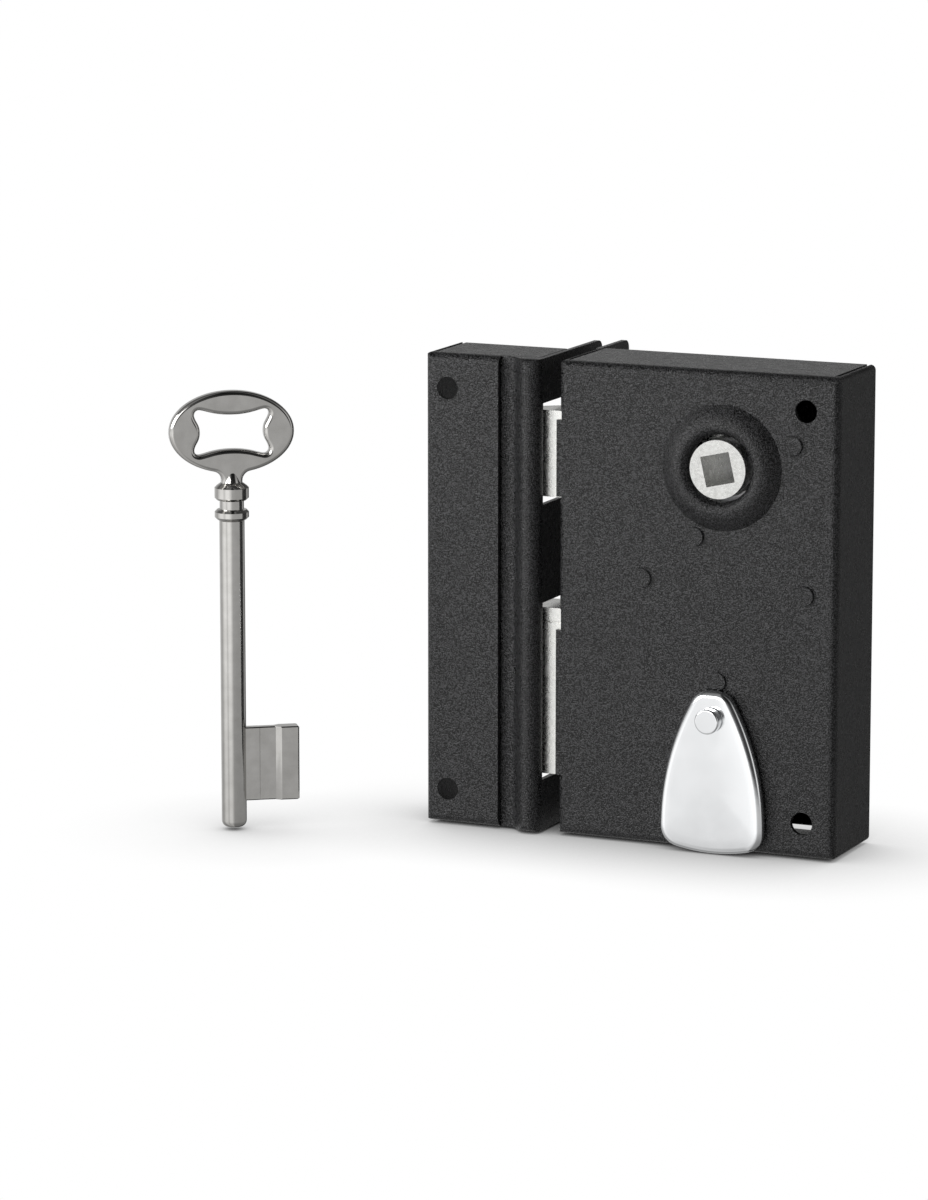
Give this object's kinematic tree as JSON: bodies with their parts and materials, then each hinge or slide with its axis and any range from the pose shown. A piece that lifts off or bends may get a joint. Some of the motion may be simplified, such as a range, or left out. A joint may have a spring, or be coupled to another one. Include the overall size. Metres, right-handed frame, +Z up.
{
  "type": "rim box lock",
  "caption": "Black rim box lock with a sprung latch, key-thrown dead bolt, square-spindle follower, swinging keyhole cover, matching keeper and an oval-bow key.",
  "frame": {"origin": "spindle axis where it meets the door face (the back of the lock)", "axes": "+Z up, +Y into the door, -Y is the front of the lock, +X away from the forend and the keeper"},
  "size_m": [0.1518, 0.0727, 0.1105],
  "materials": {
    "black_paint": "fine-grained black epoxy paint on sheet steel",
    "zinc": "bright zinc-plated, slightly grainy",
    "cover_nickel": "bright plated sheet, satin",
    "key_nickel": "nickel-plated steel, polished",
    "steel": "plain steel, oiled"
  },
  "bodies": {
    "lock": {"case_shell": "black_paint", "back_plate": "black_paint", "back_plate_screws": "zinc", "latch_spring_post": "black_paint", "follower_spring_post": "black_paint", "lever_pivot_post": "black_paint", "lever_spring_post": "black_paint", "bolt_guide_post": "black_paint", "lever_spacers": "steel", "follower_spring": "steel", "latch_spring": "steel", "lever_spring": "steel", "cover_rivet": "cover_nickel", "cover_spacer": "steel"},
    "follower": {"follower": "zinc"},
    "latch": {"latch_head": "zinc", "latch_tail": "steel", "latch_rivets": "steel"},
    "dead_bolt": {"dead_bolt_head": "zinc", "dead_bolt_tail": "steel", "dead_bolt_rivets": "steel"},
    "lever": {"bolt_lever": "steel"},
    "cover": {"keyhole_cover": "cover_nickel"},
    "keeper": {"keeper_cover": "black_paint", "keeper_strike": "black_paint"},
    "key": {"key": "key_nickel"}
  },
  "joints": [
    {"name": "follower_turn", "type": "hinge", "parent": "lock", "child": "follower", "pos_m": [0, 0, 0], "axis": [0, 1, 0], "range_deg": [0, 38], "stiffness_Nm_per_rad": 0.4, "springref_deg": -22.92, "deforming": ["follower_spring"]},
    {"name": "latch_slide", "type": "slide", "parent": "lock", "child": "latch", "axis": [1, 0, 0], "range_m": [0, 0.0103], "deforming": ["latch_spring"]},
    {"name": "dead_bolt_slide", "type": "slide", "parent": "lock", "child": "dead_bolt", "axis": [1, 0, 0], "range_m": [0, 0.014]},
    {"name": "lever_lift", "type": "hinge", "parent": "lock", "child": "lever", "pos_m": [-0.0191, 0, -0.0265], "axis": [0, -1, 0], "range_deg": [0, 6.6], "stiffness_Nm_per_rad": 0.03, "springref_deg": -17.19, "deforming": ["lever_spring"]},
    {"name": "cover_swing", "type": "hinge", "parent": "lock", "child": "cover", "pos_m": [-0.001, 0, -0.0573], "axis": [0, 1, 0], "range_deg": [-110, 110]},
    {"name": "keeper_slide", "type": "slide", "parent": "lock", "child": "keeper", "axis": [-1, 0, 0], "range_m": [0, 0.025]},
    {"name": "key_lift", "type": "slide", "parent": "lock", "child": "key", "axis": [0, 0, 1], "range_m": [0, 0.05]}
  ],
  "couplings": [
    {"joint": "latch_slide", "follows": "follower_turn", "m_per_rad": 0.0155},
    {"joint": "lever_lift", "follows": "dead_bolt_slide", "rad_per_m": 8.1033}
  ]
}
